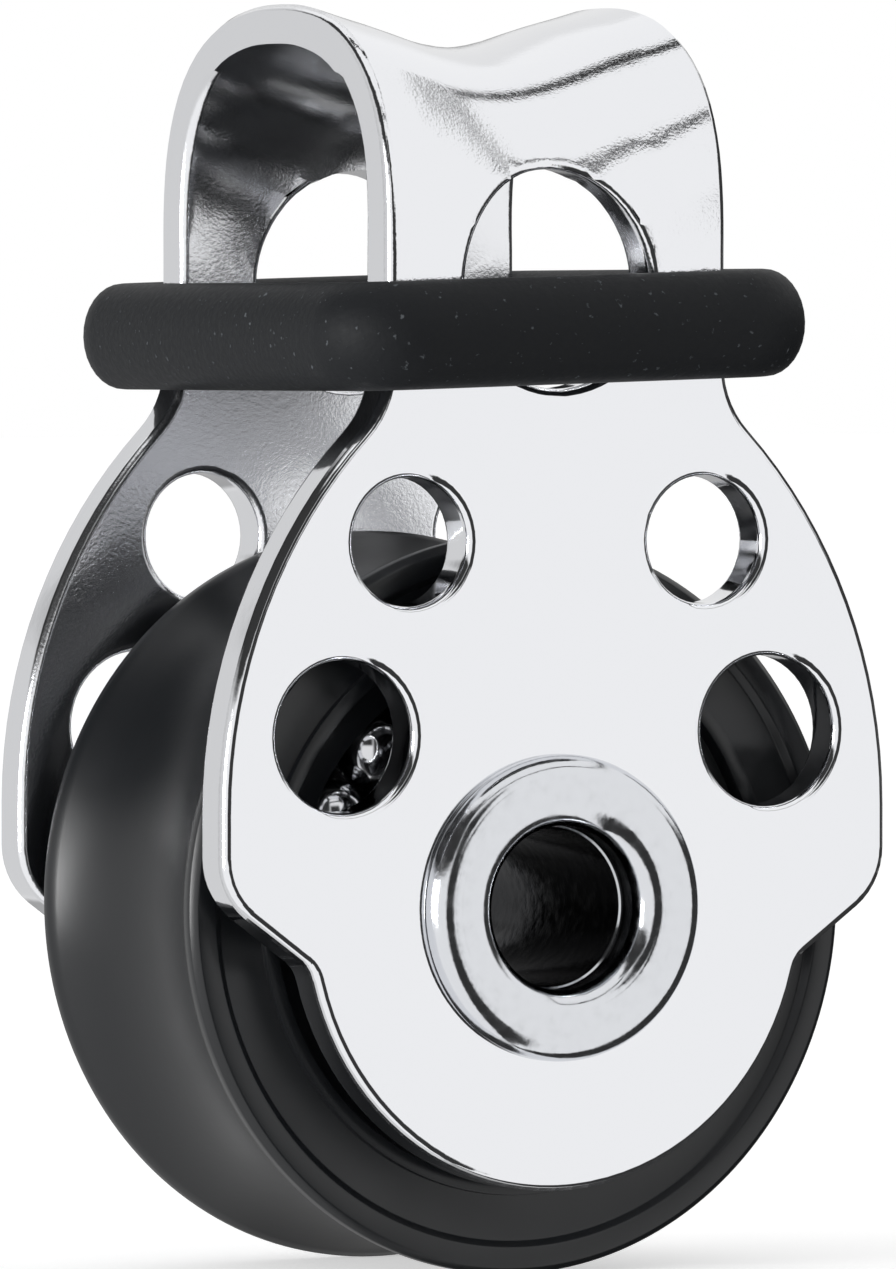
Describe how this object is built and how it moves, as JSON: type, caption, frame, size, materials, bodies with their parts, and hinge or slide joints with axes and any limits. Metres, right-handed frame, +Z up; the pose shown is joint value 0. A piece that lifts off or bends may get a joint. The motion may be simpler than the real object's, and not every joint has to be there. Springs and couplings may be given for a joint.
{
  "type": "micro block",
  "caption": "Small ball-bearing sailing block: a bent steel strap with a saddle head holds a grooved plastic sheave on a hollow rivet, with a rubber ring round the neck.",
  "frame": {"origin": "centre of the axle, midway between the cheeks", "axes": "+Y along the axle from the front cheek to the back one, +Z up from the axle to the head, +X to the right seen from the front"},
  "size_m": [0.0226, 0.0196, 0.0377],
  "materials": {
    "polished_strap_steel": "polished stainless steel strip, tumbled edges",
    "rivet_steel": "polished stainless steel tube",
    "hub_acetal": "black acetal",
    "sheave_acetal": "satin black acetal",
    "ball_steel": "bright stainless bearing balls",
    "ring_rubber": "matt black rubber"
  },
  "bodies": {
    "cheeks": {"side_strap": "polished_strap_steel", "hollow_rivet": "rivet_steel", "bearing_hub": "hub_acetal", "rubber_ring": "ring_rubber"},
    "wheel": {"sheave": "sheave_acetal"},
    "balls": {"front_ball_01": "ball_steel", "front_ball_02": "ball_steel", "front_ball_03": "ball_steel", "front_ball_04": "ball_steel", "front_ball_05": "ball_steel", "front_ball_06": "ball_steel", "front_ball_07": "ball_steel", "front_ball_08": "ball_steel", "front_ball_09": "ball_steel", "front_ball_10": "ball_steel", "front_ball_11": "ball_steel", "front_ball_12": "ball_steel", "front_ball_13": "ball_steel", "front_ball_14": "ball_steel", "front_ball_15": "ball_steel", "front_ball_16": "ball_steel", "back_ball_01": "ball_steel", "back_ball_02": "ball_steel", "back_ball_03": "ball_steel", "back_ball_04": "ball_steel", "back_ball_05": "ball_steel", "back_ball_06": "ball_steel", "back_ball_07": "ball_steel", "back_ball_08": "ball_steel", "back_ball_09": "ball_steel", "back_ball_10": "ball_steel", "back_ball_11": "ball_steel", "back_ball_12": "ball_steel", "back_ball_13": "ball_steel", "back_ball_14": "ball_steel", "back_ball_15": "ball_steel", "back_ball_16": "ball_steel"}
  },
  "joints": [
    {"name": "sheave_spin", "type": "hinge", "parent": "cheeks", "child": "wheel", "pos_m": [0, 0, 0], "axis": [0, 1, 0], "continuous": true},
    {"name": "ball_orbit", "type": "hinge", "parent": "cheeks", "child": "balls", "pos_m": [0, 0, 0], "axis": [0, 1, 0], "continuous": true}
  ],
  "couplings": [
    {"joint": "ball_orbit", "follows": "sheave_spin", "ratio": 0.5981}
  ]
}
